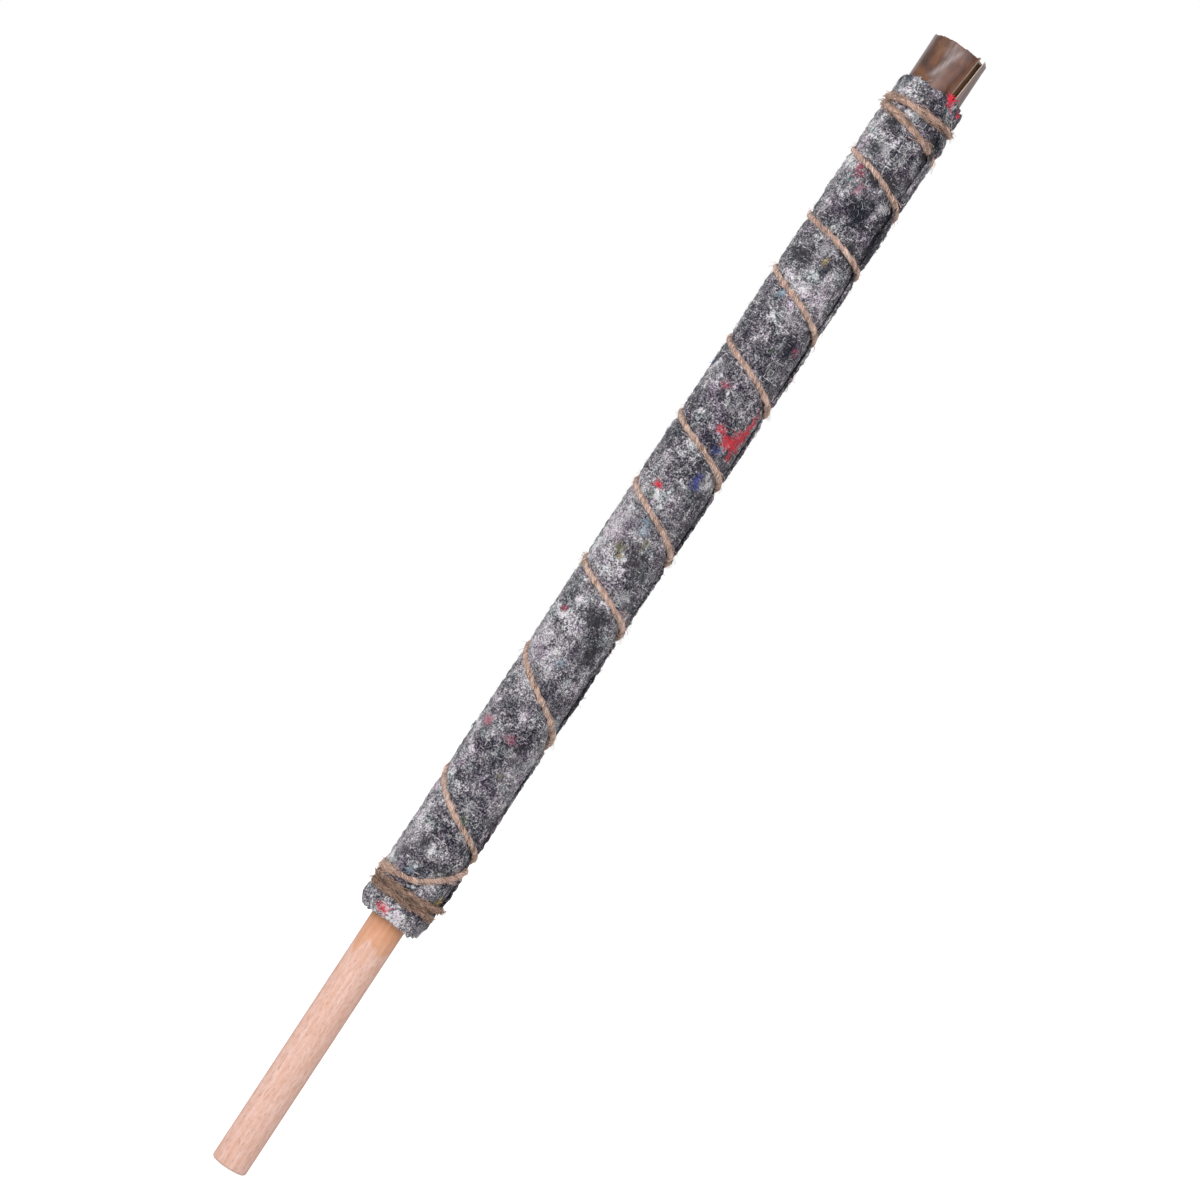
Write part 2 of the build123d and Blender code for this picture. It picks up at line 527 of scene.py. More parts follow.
def shapeFelt(radius, angle, height, turned, depth):
    width = feltHigh.z - feltLow.z
    share = (height - feltLow.z) / width
    free = np.exp(-turned / feltEdge["wanderReach"])  # only the free edge wanders
    share = np.clip(share, 0, 1)
    rise = np.clip(share * 2 - 1, 0, 1)
    # low down it runs to the side
    slant = feltEdge["slant"] - feltEdge["slantBack"] * rise ** 2 * (3 - 2 * rise)
    angle = angle + slant * np.exp(-turned / feltEdge["slantReach"])
    angle = angle + feltEdge["wander"] * softNoise(height / (18 * mm), 0 * turned, 11) * free
    nearTop = np.exp(-(feltHigh.z - height) / feltEdge["rimReach"])
    nearFoot = np.exp(-(height - feltLow.z) / feltEdge["rimReach"])
    spun = angle / 360 * 9
    ragged = softNoise(spun * 2.4, spun * 0, 21) * 0.9 + softNoise(spun * 9, spun * 0 + 3, 22) * 0.5
    height = height + (ragged * nearTop * 1.1 - nearTop * 0.6) * mm
    ragged = softNoise(spun * 2.0, spun * 0, 23) * 1.1 + softNoise(spun * 8, spun * 0 + 5, 24) * 0.6
    height = height + (ragged * nearFoot * 1.3 + nearFoot * 0.8) * mm
    wrapped = (angle + 180) % 360 - 180
    cornerFlare = bump(turned, 8, 26) * bump(height, feltLow.z + 478 * mm, 9 * mm)
    cornerDrop = bump(turned, 0, 30) * nearTop
    footFlap = bump(np.abs(wrapped), 172, 24) * bump(height, feltLow.z + 9 * mm, 8 * mm) * (turned > 90)
    footTuck = bump(height, feltLow.z, 4.5 * mm)
    footSlim = bump(wrapped, -5, 45) * bump(height, feltLow.z + 6 * mm, 13 * mm)
    lift = feltEdge["cornerLift"] * cornerFlare + feltEdge["flapLift"] * footFlap
    lift = lift - feltEdge["footTuck"] * footTuck - feltEdge["footSlim"] * footSlim
    lift = lift - feltEdge["rimTuck"] * nearTop
    radius = radius + lift * mm
    height = height - feltEdge["cornerDrop"] * cornerDrop
    edgeRound = np.exp(-turned / 1.6) * 0.45 * mm * (1 - 2 * depth)  # the cut edge is a little rounded
    flutter = 1 + 0.5 * softNoise(height / (22 * mm), 0 * turned, 12)
    proud = (0.45 + 0.5 * share) * mm * np.exp(-turned / 9) * flutter
    under = -0.3 * mm * bump(turned, 351, 6) * (1 - depth)  # the layer below dips beside the edge
    return radius - edgeRound + proud + under, angle, height


def makeReliefTree():
    defaults = {"Twine": None, "Bore": 0.0155, "Reach": 0.0039, "Pinch": 0.5, "Pinch Width": 0.003,
            "Bulge": 0.1, "Lump Size": 0.026, "Lump Height": 0.001, "Pebble Size": 0.0034,
            "Pebble Height": 0.0007, "Row Spacing": 0.005, "Row Depth": 0.0002}
    tree, given, result = geometryTree("feltRelief", defaults)
    position = positionOf(tree)
    parts = splitXYZ(tree, position)
    flat = joinXYZ(tree, {0: parts[0], 1: parts[1]})
    radius = vecCalc(tree, "LENGTH", flat)
    outward = vecCalc(tree, "NORMALIZE", flat)
    facing = readLayer(tree, "facing")

    # distance to the twine, read at the twine's own distance from the axis
    atTwine = vecCalc(tree, "SCALE", outward, scale=plus(tree, given["Bore"], given["Reach"]))
    lifted = joinXYZ(tree, {2: parts[2]})
    probe = vecCalc(tree, "ADD", atTwine, lifted)
    twine = addNode(tree, "GeometryNodeObjectInfo", {"Object": given["Twine"]}).outputs["Geometry"]
    wire = firstOf(tree, "GeometryNodeCurveToMesh", {"Curve": twine})
    proximity = addNode(tree, "GeometryNodeProximity", {0: wire, "Sample Position": probe},
            target_element="EDGES")
    ratio = over(tree, proximity.outputs["Distance"], given["Pinch Width"])
    near = calc(tree, "EXPONENT", times(tree, calc(tree, "POWER", ratio, 2.0), -1.0))
    far = minus(tree, 1.0, near)
    squeeze = plus(tree, 1.0, times(tree, far, given["Bulge"]))
    squeeze = minus(tree, squeeze, times(tree, near, given["Pinch"]))
    above = minus(tree, radius, given["Bore"])
    pressed = times(tree, above, minus(tree, squeeze, 1.0))

    lump = addNode(tree, "ShaderNodeTexNoise", {"Vector": position,
            "Scale": over(tree, 1.0, given["Lump Size"]), "Detail": 2.0})
    lumps = swing(tree, lump.outputs[0], 0.5, given["Lump Height"])
    lumps = times(tree, lumps, over(tree, above, given["Reach"]))
    pebbleScale = over(tree, 1.0, given["Pebble Size"])
    pebble = addNode(tree, "ShaderNodeTexVoronoi", {"Vector": position, "Scale": pebbleScale,
            "Smoothness": 0.6}, feature="SMOOTH_F1")
    crumb = addNode(tree, "ShaderNodeTexNoise", {"Vector": position,
            "Scale": times(tree, pebbleScale, 1.7), "Detail": 3.0, "Roughness": 0.65})
    pebbles = plus(tree, times(tree, minus(tree, 0.42, pebble.outputs["Distance"]), 0.8),
            minus(tree, crumb.outputs[0], 0.5))
    pebbles = times(tree, pebbles, given["Pebble Height"])
    rowPhase = times(tree, over(tree, parts[2], given["Row Spacing"]), fullTurn)
    row = calc(tree, "POWER", times(tree, plus(tree, calc(tree, "COSINE", rowPhase), 1.0), 0.5), 4.0)
    rows = times(tree, row, given["Row Depth"])
    surface = times(tree, minus(tree, pebbles, rows), facing)
    total = plus(tree, plus(tree, pressed, lumps), surface)
    moved = addNode(tree, "GeometryNodeSetPosition", {"Geometry": given["Geometry"],
            "Offset": vecCalc(tree, "SCALE", outward, scale=total)})
    return endTree(tree, given, result, moved.outputs[0])


# flecks of dyed wool: degrees right of the front, height, half width and half height in mm, colour
dyes = {
    "red": (0.84, 0.030, 0.065), "crimson": (0.46, 0.015, 0.09), "blue": (0.04, 0.06, 0.34),
    "sky": (0.34, 0.48, 0.60), "teal": (0.03, 0.16, 0.15), "yellow": (0.64, 0.48, 0.18),
    "olive": (0.27, 0.25, 0.13), "pink": (0.62, 0.24, 0.32), "black": (0.014, 0.014, 0.022),
    "white": (0.66, 0.65, 0.68), "green": (0.06, 0.16, 0.06),
}
feltFlecks = [
    (37, 446.5, 5.0, 3.4, "red"), (14, 450, 2.8, 1.8, "red"), (60, 459, 1.6, 9.0, "red"),
    (48, 450, 3.0, 5.0, "red"), (52, 441, 1.2, 2.6, "red"), (25, 440, 2.4, 1.5, "blue"),
    (25, 421.7, 2.2, 3.6, "blue"), (-24, 410, 2.4, 1.8, "red"), (-24, 405, 1.6, 1.0, "green"),
    (-3, 386, 2.3, 2.2, "sky"), (-5, 391, 1.8, 1.4, "sky"), (-39, 389, 2.6, 2.8, "white"),
    (-19, 373, 2.3, 2.6, "olive"), (-12, 369, 1.2, 1.2, "yellow"), (12, 381, 1.3, 2.0, "olive"),
    (14, 371, 4.6, 5.0, "black"), (28, 352, 3.2, 3.2, "white"), (4, 550, 1.8, 1.8, "yellow"),
    (-25, 525, 2.1, 1.6, "sky"), (-16, 526, 1.3, 1.2, "pink"), (-34, 600, 1.5, 1.8, "crimson"),
    (-26, 597, 1.3, 1.8, "crimson"), (-15, 590, 1.4, 2.4, "pink"), (-38, 593, 1.4, 1.4, "teal"),
    (-22, 590, 1.4, 1.4, "teal"), (4, 260.5, 3.0, 1.4, "pink"), (2, 308, 1.4, 2.6, "sky"),
    (-49, 263, 2.2, 2.8, "pink"), (-19, 154.5, 3.4, 2.0, "red"), (36, 648, 1.3, 1.6, "teal"),
    (12, 498, 1.2, 1.1, "green"), (-32, 206, 5.2, 0.9, "black"), (-16, 199, 0.9, 6.5, "black"),
    (22, 243, 1.5, 1.2, "olive"), (-42, 331, 1.2, 0.9, "crimson"), (50, 643, 2.4, 2.4, "white"),
    (-17, 614, 3.6, 2.4, "white"), (20, 614, 2.2, 1.8, "white"), (41, 589, 3.2, 2.2, "white"),
    (-6, 555, 3.0, 2.8, "white"), (10, 515, 3.6, 2.0, "white"), (47, 505, 1.5, 1.5, "crimson"),
    (-21, 471, 2.2, 1.5, "crimson"), (25, 260, 1.9, 1.9, "black"), (-43, 324, 1.3, 2.8, "black"),
    (-37, 232, 3.2, 2.2, "black"), (23, 187, 4.6, 3.2, "black"), (-16, 178.5, 2.2, 1.2, "sky"),
    (66, 171, 2.0, 2.0, "yellow"), (12, 214, 2.0, 1.8, "green"), (7, 221, 3.6, 3.2, "white"),
    (33, 652, 2.0, 2.6, "red"), (-8, 648, 4.5, 2.6, "black"), (-35, 545, 6.0, 5.0, "black"),
    (25, 560, 6.0, 4.0, "black"), (-5, 600, 6.5, 3.0, "black"), (8, 336, 7.0, 5.0, "black"),
    (38, 318, 4.0, 7.0, "black"), (-30, 628, 5.0, 3.5, "black"), (-30, 612, 5.0, 3.0, "black"),
    (28, 601, 5.5, 5.0, "black"),
]


def dyeFelt(felt):
    mesh = felt.data
    co = coordsOf(mesh)
    angle = np.degrees(np.arctan2(co[:, 1], co[:, 0]))
    picker = np.random.default_rng(5)
    names = list(dyes)
    strays = [(picker.uniform(75, 285), picker.uniform(158, 648), picker.uniform(0.7, 2.6),
            picker.uniform(0.7, 2.4), names[picker.integers(len(names) - 2)]) for _ in range(46)]
    colour = np.zeros((len(co), 4))
    for right, height, halfWide, halfHigh, name in feltFlecks + strays:
        across = ((angle + 90 - right + 180) % 360 - 180) * math.radians(1) * feltOuter / mm / halfWide
        upward = (co[:, 2] / mm - height) / halfHigh
        ragged = softNoise(angle * 0.45, co[:, 2] / (0.9 * mm), int(height)) * 0.75
        weight = np.clip(1.25 - np.sqrt(across ** 2 + upward ** 2) + ragged, 0, 1)
        stronger = weight > colour[:, 3]
        colour[stronger, :3] = dyes[name]
        colour[stronger, 3] = weight[stronger]
    layer = mesh.attributes.new("dye", "FLOAT_COLOR", "POINT")
    layer.data.foreach_set("color", colour.astype(np.float32).ravel())


# heights over which the felt's foot turns pale and its rim is darkened with painted shade
feltTone = {"foot": (0.151, 0.165), "footPale": 0.30, "rim": (0.6485, 0.6540), "rimPaintedShade": 0.20}


def makeFeltMaterial():
    material, tree, skin = newMaterial("recycledFelt")
    place = objectPlace(tree)
    blots = useGroup(tree, mottle, {"Vector": place, "Blotch Size": 0.015, "Grain Size": 0.0015})
    fine = noise(tree, place, 0.00075, 3.0, 0.75)
    specks = noise(tree, vecCalc(tree, "ADD", place, (0.7, 5.1, 2.2)), 0.0065, 1.0, 0.5, 0.5)
    clumps = mapRange(tree, specks, 0.58, 0.70)
    parts = splitXYZ(tree, place)
    tone = swing(tree, blots["Blotches"], 0.5, 0.52)
    rough = noise(tree, vecCalc(tree, "ADD", place, (4.4, 2.9, 3.3)), 0.018, 1.0)
    grainy = mapRange(tree, rough, 0.38, 0.62, 0.20, 0.55)
    tone = plus(tree, tone, swing(tree, blots["Grains"], 0.5, grainy))
    tone = plus(tree, tone, swing(tree, fine, 0.5, 1.75))
    tone = plus(tree, tone, times(tree, clumps, 0.26))
    clouds = noise(tree, vecCalc(tree, "ADD", place, (1.3, 0.2, 6.1)), 0.045, 1.0)
    tone = plus(tree, tone, swing(tree, clouds, 0.53, 0.75))
    tone = plus(tree, tone, mapRange(tree, parts[0], -0.020, 0.020, 0.615, 0.385))  # painted light and shade: paler towards the left, darker towards the right
    low = mapRange(tree, parts[2], *feltTone["foot"], feltTone["footPale"], 0.0, smooth=True)
    tone = plus(tree, tone, low)  # the frayed foot is paler
    high = mapRange(tree, parts[2], *feltTone["rim"], 0.0, feltTone["rimPaintedShade"])
    tone = minus(tree, tone, high)  # painted shade darkens the upper rim
    greys = colourRamp(tree, tone, [(0.10, (0.014, 0.014, 0.023)), (0.31, (0.056, 0.052, 0.072)),
            (0.50, (0.158, 0.145, 0.167)), (0.69, (0.370, 0.345, 0.372)), (0.92, (0.820, 0.790, 0.820))])
    tint = noise(tree, vecCalc(tree, "ADD", place, (3.1, 1.7, 0.4)), 0.009, 1.0)
    tinted = colourRamp(tree, tint, [(0.34, (0.86, 1.0, 0.97)), (0.46, (1.0, 0.99, 0.98)),
            (0.56, (0.97, 0.97, 1.0)), (0.68, (1.0, 0.88, 1.0))])
    greys = mixColour(tree, 0.75, greys, tinted, "MULTIPLY")
    dye = addNode(tree, "ShaderNodeAttribute", attribute_name="dye")
    vivid = addNode(tree, "ShaderNodeSeparateColor", {0: dye.outputs["Color"]}, mode="HSV").outputs[1]
    most = mapRange(tree, vivid, 0.4, 0.6, 0.5, 0.95)
    strength = times(tree, dye.outputs["Alpha"], mapRange(tree, blots["Grains"], 0.2, 0.75, 0.2, most))
    coloured = mixColour(tree, strength, greys, dye.outputs["Color"])
    fillInputs(tree, skin, {"Base Color": coloured, "Roughness": 0.95, "Sheen Weight": 0.08,
            "Sheen Roughness": 0.5, "Specular IOR Level": 0.1})
    height = plus(tree, blots["Height"], times(tree, fine, 0.6))
    fillInputs(tree, skin, {"Normal": bumpOf(tree, 1.0, 0.0009, height)})
    return material


feltMaterial = makeFeltMaterial()


def makeFelt():
    width = feltHigh.z - feltLow.z
    rows = np.linspace(feltLow.z, feltHigh.z, round(width / feltSet["rowStep"]) + 1)
    angles = evenAngles(372, 360 * feltSet["turns"], feltSet["columnStep"], feltSet["coarseStep"],
            feltOuter)
    base = woundSheet("feltBase", feltOuter, feltSet["pitch"], feltSet["ply"], angles, rows, 12,
            feltSet["edgeAngle"], shapeFelt)
    values = {"Twine": twineLine, "Bore": feltBore, "Reach": feltOuter - feltBore,
            "Pinch": feltSet["pinch"], "Pinch Width": feltSet["pinchWidth"], "Bulge": feltSet["bulge"],
            "Lump Size": feltSet["lumpSize"], "Lump Height": feltSet["lumpHeight"],
            "Pebble Size": feltSet["pebbleSize"], "Pebble Height": feltSet["pebbleHeight"],
            "Row Spacing": feltSet["rowSpacing"], "Row Depth": feltSet["rowDepth"],
            "Material": feltMaterial}
    felt = bakeTree(base, makeReliefTree(), values, "felt_wrap_cloth")
    dropObject(base)
    dyeFelt(felt)
    return finishPiece(felt, ["felt_wrap"])


felt = makeFelt()


# twisted jute plies along the line
def makePliesTree():
    defaults = {"Ply Radius": 0.0009, "Ply Offset": 0.0008, "Lay Length": 0.009, "Step": 0.0012,
            "Unevenness": 0.25}
    tree, given, result = geometryTree("twistedPlies", defaults)
    line = firstOf(tree, "GeometryNodeResampleCurve", {"Curve": given["Geometry"],
            "Length": given["Step"]}, mode="LENGTH")
    run = addNode(tree, "GeometryNodeSplineParameter").outputs["Length"]
    tilt = times(tree, over(tree, run, given["Lay Length"]), fullTurn)
    twisted = firstOf(tree, "GeometryNodeSetCurveTilt", {"Curve": line, "Tilt": tilt})
    uneven = firstOf(tree, "ShaderNodeTexNoise", {"W": run, "Scale": 70.0, "Detail": 2.0},
            noise_dimensions="1D")
    swell = plus(tree, 1.0, swing(tree, uneven, 0.5, given["Unevenness"]))
    swollen = firstOf(tree, "GeometryNodeSetCurveRadius", {"Curve": twisted, "Radius": swell})
    marked = storeLayer(tree, swollen, "along", run)
    heading = firstOf(tree, "GeometryNodeInputTangent")
    marked = storeLayer(tree, marked, "heading", heading, "FLOAT_VECTOR")
    circle = circleOf(tree, 9, given["Ply Radius"])
    around = addNode(tree, "GeometryNodeSplineParameter").outputs["Factor"]
    circle = storeLayer(tree, circle, "around", around)
    join = addNode(tree, "GeometryNodeJoinGeometry")
    for side in (1.0, -1.0):
        offset = joinXYZ(tree, {0: times(tree, given["Ply Offset"], side)})
        ply = firstOf(tree, "GeometryNodeTransform", {"Geometry": circle, "Translation": offset})
        tree.links.new(ply, join.inputs[0])
    swept = addNode(tree, "GeometryNodeCurveToMesh", {"Curve": marked, "Profile Curve": join.outputs[0],
            "Fill Caps": True})
    if "Scale" in swept.inputs:
        radius = firstOf(tree, "GeometryNodeInputRadius")
        tree.links.new(radius, swept.inputs["Scale"])
    return endTree(tree, given, result, swept.outputs[0])


def makeJuteMaterial():
    material, tree, skin = newMaterial("jute")
    along = layerValue(tree, "along")
    around = layerValue(tree, "around")
    spin = times(tree, around, fullTurn)
    lean = plus(tree, spin, times(tree, along, -fullTurn / 0.011))  # fibres lean along the ply
    ring = joinXYZ(tree, {0: times(tree, calc(tree, "COSINE", lean), 0.0011),
            1: times(tree, calc(tree, "SINE", lean), 0.0011), 2: along})
    fibres = useGroup(tree, grain, {"Vector": ring, "Streak Width": 0.00075, "Streak Length": 0.016,
            "Fleck Width": 0.00045, "Fleck Length": 0.007})
    place = objectPlace(tree)
    blots = useGroup(tree, mottle, {"Vector": place, "Blotch Size": 0.02, "Grain Size": 0.0009})
    tone = plus(tree, times(tree, fibres["Streaks"], 0.8), times(tree, blots["Blotches"], 0.3))
    tans = colourRamp(tree, tone, [(0.22, (0.16, 0.088, 0.064)), (0.42, (0.50, 0.315, 0.245)),
            (0.62, (0.86, 0.590, 0.485)), (0.9, (0.98, 0.79, 0.69))])
    dark = mixColour(tree, times(tree, fibres["Flecks"], 0.75), tans, (0.13, 0.070, 0.045, 1))
    height = splitXYZ(tree, place)[2]
    soaked = mapRange(tree, height, 0.1660, 0.1705, 0.85, 0.0, smooth=True)  # the lowest turns are oily
    dark = mixColour(tree, soaked, dark, (0.40, 0.32, 0.27, 1), "MULTIPLY")
    fillInputs(tree, skin, {"Base Color": dark, "Roughness": 0.85, "Sheen Weight": 0.2,
            "Specular IOR Level": 0.2})
    fillInputs(tree, skin, {"Normal": bumpOf(tree, 1.0, 0.0006, fibres["Streaks"])})
    return material


juteMaterial = makeJuteMaterial()


def makeTwine():
    values = {"Ply Radius": twineSet["plyRadius"], "Ply Offset": twineSet["plyOffset"],
            "Lay Length": twineSet["layLength"], "Step": twineSet["step"], "Material": juteMaterial}
    twine = bakeTree(twineLine, makePliesTree(), values, "jute_twine_plies")
    return finishPiece(twine, ["jute_twine"])


twine = makeTwine()


# short bent fibres scattered over a surface
def makeFibreTree():
    defaults = {"Density": 50000.0, "Clumping": 1.0, "Clump Size": 0.012, "Length": 0.004,
            "Radius": 0.00006, "Lift": 0.25, "Wander": 180.0, "Dyed Only": 0.0, "Seed": 1}
    tree, given, result = geometryTree("surfaceFibres", defaults)
    position = positionOf(tree)
    cloud = firstOf(tree, "ShaderNodeTexNoise", {"Vector": position,
            "Scale": over(tree, 1.0, given["Clump Size"]), "W": times(tree, given["Seed"], 3.7),
            "Detail": 1.0}, noise_dimensions="4D")
    gathered = mapRange(tree, cloud, 0.42, 0.66)
    share = plus(tree, minus(tree, 1.0, given["Clumping"]), times(tree, gathered, given["Clumping"]))
    facing = addNode(tree, "GeometryNodeInputNamedAttribute", {"Name": "facing"}, data_type="FLOAT")
    shown = firstOf(tree, "GeometryNodeSwitch", {"Switch": facing.outputs["Exists"], "False": 1.0,
            "True": facing.outputs[0]}, input_type="FLOAT")
    density = times(tree, times(tree, given["Density"], share), calc(tree, "GREATER_THAN", shown, 0.9))
    dye = readLayer(tree, "dye", "FLOAT_COLOR")
    dyed = calc(tree, "GREATER_THAN", addNode(tree, "FunctionNodeSeparateColor",
            {0: dye}).outputs["Alpha"], 0.35)
    allowed = firstOf(tree, "ShaderNodeMix", {0: given["Dyed Only"], 2: 1.0, 3: dyed}, data_type="FLOAT")
    density = times(tree, density, allowed)
    points = addNode(tree, "GeometryNodeDistributePointsOnFaces", {"Mesh": given["Geometry"],
            "Density": density, "Seed": given["Seed"]}, distribute_method="RANDOM")
    arc = firstOf(tree, "GeometryNodeCurveQuadraticBezier", {"Resolution": 5, "Start": (0, 0, -0.03),
            "Middle": (0.55, 0.22, 0.30), "End": (1.0, -0.05, 0.12)})
    ring = circleOf(tree, 3, over(tree, given["Radius"], given["Length"]))
    hair = tubeOf(tree, arc, ring)
    spinSeed = plus(tree, given["Seed"], 50.0)
    wander = calc(tree, "RADIANS", given["Wander"])
    bend = randomValue(tree, times(tree, wander, -1.0), wander, spinSeed)
    spin = joinXYZ(tree, {2: bend})
    turned = firstOf(tree, "FunctionNodeEulerToRotation", {0: spin})
    heading = readLayer(tree, "heading", "FLOAT_VECTOR")
    led = firstOf(tree, "FunctionNodeAlignRotationToVector", {"Rotation": points.outputs["Rotation"],
            "Vector": heading}, axis="X", pivot_axis="Z")
    rotation = firstOf(tree, "FunctionNodeRotateRotation", {0: led, 1: turned}, rotation_space="LOCAL")
    sizeSeed = plus(tree, given["Seed"], 90.0)
    size = randomValue(tree, 0.4, 1.5, sizeSeed)
    length = times(tree, size, given["Length"])
    lifted = times(tree, length, given["Lift"])
    scale = joinXYZ(tree, {0: length, 1: length, 2: times(tree, lifted, 4.0)})
    placed = firstOf(tree, "GeometryNodeInstanceOnPoints", {"Points": points.outputs[0], "Instance": hair,
            "Rotation": rotation, "Scale": scale})
    return endTree(tree, given, result, placed)


def makeThreadMaterial(name, colour, rough=0.7, dark=0.55, light=1.35):
    material, tree, skin = newMaterial(name)
    place = objectPlace(tree)
    strand = layerValue(tree, "strand")  # its own shade for each strand
    place = vecCalc(tree, "ADD", place, vecCalc(tree, "SCALE", (0.61, 0.23, 0.47), scale=strand))
    shade = noise(tree, place, 0.006, 2.0)
    low = tuple(c * dark for c in colour)
    high = tuple(min(1.0, c * light) for c in colour)
    fillInputs(tree, skin, {"Base Color": colourRamp(tree, shade, [(0.35, low), (0.65, high)]),
            "Roughness": rough})
    return material


def makeDyedMaterial():
    material, tree, skin = newMaterial("dyedWool")
    dye = addNode(tree, "ShaderNodeAttribute", attribute_name="dye").outputs["Color"]
    brighter = mixColour(tree, 0.05, dye, (0.8, 0.8, 0.8, 1))
    fillInputs(tree, skin, {"Base Color": brighter, "Roughness": 0.8})
    return material


fibreTree = makeFibreTree()
fibreSet = {
    "felt_pale_fibres": (felt, "recycled_felt", makeThreadMaterial("paleWool", (0.62, 0.60, 0.62)), {
        "Density": 100000.0, "Clumping": 0.9, "Clump Size": 13 * mm, "Length": 3.0 * mm, "Radius": 0.065 * mm,
        "Lift": 0.12, "Seed": 3}),
    "felt_dark_fibres": (felt, "recycled_felt", makeThreadMaterial("darkWool", (0.02, 0.02, 0.028)), {
        "Density": 100000.0, "Clumping": 0.8, "Clump Size": 16 * mm, "Length": 2.8 * mm, "Radius": 0.085 * mm,
        "Lift": 0.10, "Seed": 8}),
    "felt_dyed_fibres": (felt, "recycled_felt", makeDyedMaterial(), {
        "Density": 2600000.0, "Clumping": 0.3, "Clump Size": 3 * mm, "Length": 2.6 * mm, "Radius": 0.10 * mm,
        "Lift": 0.2, "Dyed Only": 1.0, "Seed": 21}),
    "felt_grey_fibres": (felt, "recycled_felt", makeThreadMaterial("greyWool", (0.22, 0.21, 0.24)), {
        "Density": 90000.0, "Clumping": 0.3, "Clump Size": 9 * mm, "Length": 2.4 * mm, "Radius": 0.07 * mm,
        "Lift": 0.14, "Seed": 33}),
    "twine_hairs": (twine, "jute", makeThreadMaterial("juteHair", (0.72, 0.50, 0.41), 0.7, 0.45, 1.4), {
        "Density": 230000.0, "Clumping": 0.6, "Clump Size": 14 * mm, "Length": 4.0 * mm, "Radius": 0.08 * mm,
        "Lift": 0.18, "Wander": 30.0, "Seed": 15}),
}
for name, (surface, slot, material, values) in fibreSet.items():
    values["Material"] = material
    finishPiece(bakeTree(surface, fibreTree, values, name))


# loose strands that run along the twine
def makeStrayTree():
    defaults = {"From": 0.0, "To": 1.0, "Count": 20, "Step": 0.002, "Spread": 0.0013, "Waviness": 0.009,
            "Share": 0.25, "Radius": 0.00008, "Seed": 1}
    tree, given, result = geometryTree("strayStrands", defaults)
    part = firstOf(tree, "GeometryNodeTrimCurve", {"Curve": given["Geometry"], "Start": given["From"],
            "End": given["To"]}, mode="FACTOR")
    many = addNode(tree, "GeometryNodeDuplicateElements", {"Geometry": part, "Amount": given["Count"]},
            domain="SPLINE")
    number = many.outputs["Duplicate Index"]
    marked = storeLayer(tree, many.outputs[0], "strand", number, domain="CURVE")
    fine = firstOf(tree, "GeometryNodeResampleCurve", {"Curve": marked, "Length": given["Step"]},
            mode="LENGTH")
    strand = readLayer(tree, "strand")
    position = positionOf(tree)
    scale = over(tree, 1.0, given["Waviness"])
    shift = plus(tree, times(tree, strand, 3.37), given["Seed"])
    drift = addNode(tree, "ShaderNodeTexNoise", {"Vector": position, "W": shift, "Scale": scale,
            "Detail": 1.5}, noise_dimensions="4D").outputs["Color"]
    drift = vecCalc(tree, "SUBTRACT", drift, (0.5, 0.5, 0.5))
    drift = vecCalc(tree, "SCALE", drift, scale=times(tree, given["Spread"], 4.0))
    moved = firstOf(tree, "GeometryNodeSetPosition", {"Geometry": fine, "Offset": drift})
    keepShift = plus(tree, shift, 31.0)
    keep = firstOf(tree, "ShaderNodeTexNoise", {"Vector": position, "W": keepShift, "Scale": 45.0,
            "Detail": 0.0}, noise_dimensions="4D")
    gone = calc(tree, "GREATER_THAN", keep, mapRange(tree, given["Share"], 0.0, 1.0, 0.3, 0.7))
    # a mesh line parts where its points go
    wire = firstOf(tree, "GeometryNodeCurveToMesh", {"Curve": moved})
    parted = firstOf(tree, "GeometryNodeDeleteGeometry", {"Geometry": wire, "Selection": gone},
            domain="POINT")
    cut = firstOf(tree, "GeometryNodeMeshToCurve", {"Mesh": parted})
    ring = circleOf(tree, 3, given["Radius"])
    tube = tubeOf(tree, cut, ring)
    return endTree(tree, given, result, tube)


strayTree = makeStrayTree()
straySet = {
    "twine_strays": (makeThreadMaterial("juteStrand", (0.78, 0.54, 0.45), 0.7, 0.4, 1.3), {
        "From": 0.0, "To": 1.0, "Count": 26, "Step": 2.0 * mm, "Spread": 2.2 * mm, "Waviness": 13 * mm,
        "Share": 0.55, "Radius": 0.14 * mm, "Seed": 2}),
    "twine_top_fray": (makeThreadMaterial("juteTopFray", (0.50, 0.335, 0.255), 0.7, 0.35, 1.7), {
        "From": 0.0, "To": 0.098, "Count": 80, "Step": 1.8 * mm, "Spread": 3.8 * mm, "Waviness": 13 * mm,
        "Share": 0.50, "Radius": 0.16 * mm, "Seed": 14}),
    "twine_lower_fray": (makeThreadMaterial("juteLowerFray", (0.80, 0.55, 0.44), 0.7, 0.5, 1.3), {
        "From": 0.800, "To": 0.836, "Count": 110, "Step": 1.8 * mm, "Spread": 4.4 * mm, "Waviness": 16 * mm,
        "Share": 0.60, "Radius": 0.15 * mm, "Seed": 27}),
    "twine_frayed_end": (makeThreadMaterial("juteFray", (0.30, 0.190, 0.135), 0.7, 0.25, 2.0), {
        "From": 0.880, "To": 1.0, "Count": 84, "Step": 1.8 * mm, "Spread": 3.6 * mm, "Waviness": 12 * mm,
        "Share": 0.50, "Radius": 0.15 * mm, "Seed": 6}),
}
for name, (material, values) in straySet.items():
    values["Material"] = material
    finishPiece(bakeTree(twineLine, strayTree, values, name))


# small tufts pulled up at the upper rim: degrees right of the front, height, fibre count, colour
tuftSet = {
    "reach": 4.2 * mm, "width": 1.5 * mm, "radius": 0.13 * mm,
    "places": [(33, 652.5, 46, "red"), (38, 651.0, 22, "pink"), (71, 648.5, 20, "red"),
               (46, 650.0, 30, "white"), (-40, 651.5, 10, "white")],
}


